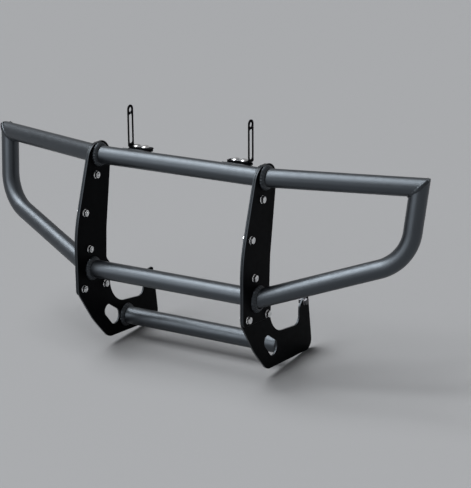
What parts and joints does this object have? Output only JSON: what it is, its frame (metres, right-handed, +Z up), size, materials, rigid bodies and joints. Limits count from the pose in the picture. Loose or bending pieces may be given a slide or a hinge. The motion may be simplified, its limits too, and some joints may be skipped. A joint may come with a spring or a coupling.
{
  "type": "atv front bumper",
  "caption": "Tubular front bumper for an all-terrain vehicle: plate-sided centre section with cross rails, bolted swept-back wing hoops and slotted strap brackets.",
  "frame": {"origin": "midway between the two frame bolts, on their common axis, one in the rear prong of each side plate", "axes": "+X to the right of someone who looks at the bumper's front, +Y back towards the vehicle, +Z up"},
  "size_m": [1.0236, 0.3025, 0.5289],
  "materials": {
    "black_powder_coat": "semi-gloss black powder coat over steel",
    "bright_zinc": "bright zinc plating"
  },
  "bodies": {
    "root": {"top_rail": "black_powder_coat", "mid_rail": "black_powder_coat", "lower_rail": "black_powder_coat", "side_plate_left": "black_powder_coat", "wing_plate_left": "black_powder_coat", "wing_top_tube_left": "black_powder_coat", "wing_outer_tube_left": "black_powder_coat", "bracket_tab_left": "black_powder_coat", "strap_bracket_left": "black_powder_coat", "side_plate_right": "black_powder_coat", "wing_plate_right": "black_powder_coat", "wing_top_tube_right": "black_powder_coat", "wing_outer_tube_right": "black_powder_coat", "bracket_tab_right": "black_powder_coat", "strap_bracket_right": "black_powder_coat", "wing_bolt_left_1": "bright_zinc", "wing_bolt_left_2": "bright_zinc", "wing_bolt_left_3": "bright_zinc", "wing_bolt_left_4": "bright_zinc", "wing_bolt_left_5": "bright_zinc", "wing_nut_left_1": "bright_zinc", "wing_nut_left_2": "bright_zinc", "wing_nut_left_3": "bright_zinc", "wing_nut_left_4": "bright_zinc", "wing_nut_left_5": "bright_zinc", "frame_bolt_left": "bright_zinc", "frame_nut_left": "bright_zinc", "bracket_bolt_left_1": "bright_zinc", "bracket_bolt_left_2": "bright_zinc", "bracket_nut_left_1": "bright_zinc", "bracket_nut_left_2": "bright_zinc", "wing_bolt_right_1": "bright_zinc", "wing_bolt_right_2": "bright_zinc", "wing_bolt_right_3": "bright_zinc", "wing_bolt_right_4": "bright_zinc", "wing_bolt_right_5": "bright_zinc", "wing_nut_right_1": "bright_zinc", "wing_nut_right_2": "bright_zinc", "wing_nut_right_3": "bright_zinc", "wing_nut_right_4": "bright_zinc", "wing_nut_right_5": "bright_zinc", "frame_bolt_right": "bright_zinc", "frame_nut_right": "bright_zinc", "bracket_bolt_right_1": "bright_zinc", "bracket_bolt_right_2": "bright_zinc", "bracket_nut_right_1": "bright_zinc", "bracket_nut_right_2": "bright_zinc"}
  },
  "joints": []
}
